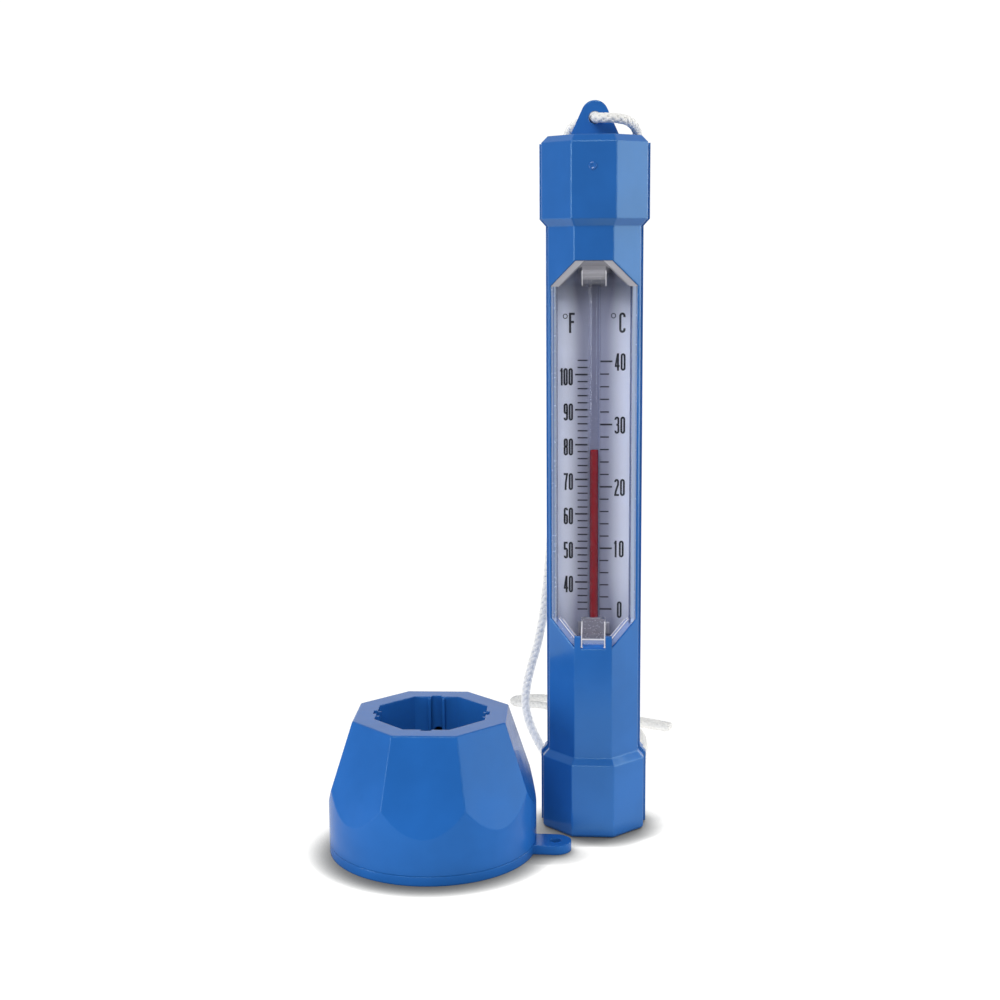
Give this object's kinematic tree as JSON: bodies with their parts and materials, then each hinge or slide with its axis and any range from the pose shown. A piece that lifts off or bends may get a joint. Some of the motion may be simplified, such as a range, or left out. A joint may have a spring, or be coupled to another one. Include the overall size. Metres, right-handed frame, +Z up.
{
  "type": "floating pool thermometer",
  "caption": "Octagonal tube thermometer in a two-shell plastic housing with clear window, scale card, liquid tube, hanging cord and separate float collar.",
  "frame": {"origin": "under the middle of the box round the thermometer and the float, on the surface that both stand on; the cord is left out of that box", "axes": "+Z up along the thermometer, its window towards -Y, the float on the -X side"},
  "size_m": [0.1114, 0.1878, 0.2278],
  "materials": {
    "housing_blue": "glossy moulded polypropylene",
    "float_blue": "semi-gloss moulded plastic",
    "clear_cover": "clear polystyrene",
    "card_print": "matt card with printed scale",
    "tube_glass": "clear glass",
    "red_spirit": "dyed spirit",
    "clip_clear": "translucent natural nylon",
    "end_cap_rubber": "soft rubber",
    "ballast_steel": "turned steel",
    "cushion_foam": "foam rubber",
    "cord_white": "braided polyester"
  },
  "bodies": {
    "thermometer": {"housing_front_shell": "housing_blue", "housing_rear_shell": "housing_blue", "window_cover": "clear_cover", "scale_card": "card_print", "glass_tube": "tube_glass", "bulb_liquid": "red_spirit", "tube_clip_lower": "clip_clear", "tube_clip_upper": "clip_clear", "tube_end_cap": "end_cap_rubber", "ballast_weight": "ballast_steel", "bulb_cushion": "cushion_foam", "cord_right": "cord_white", "cord_left": "cord_white", "cord_tail_front": "cord_white", "cord_tail_back": "cord_white", "cord_knot": "cord_white"},
    "float": {"float_hood": "float_blue", "float_base": "float_blue"},
    "liquid": {"liquid_column": "red_spirit"}
  },
  "joints": [
    {"name": "float_lift", "type": "slide", "parent": "thermometer", "child": "float", "axis": [0, 0, 1], "range_m": [0, 0.235]},
    {"name": "liquid_rise", "type": "slide", "parent": "thermometer", "child": "liquid", "axis": [0, 0, 1], "range_m": [-0.051, 0.027], "deforming": ["liquid_column"]}
  ]
}
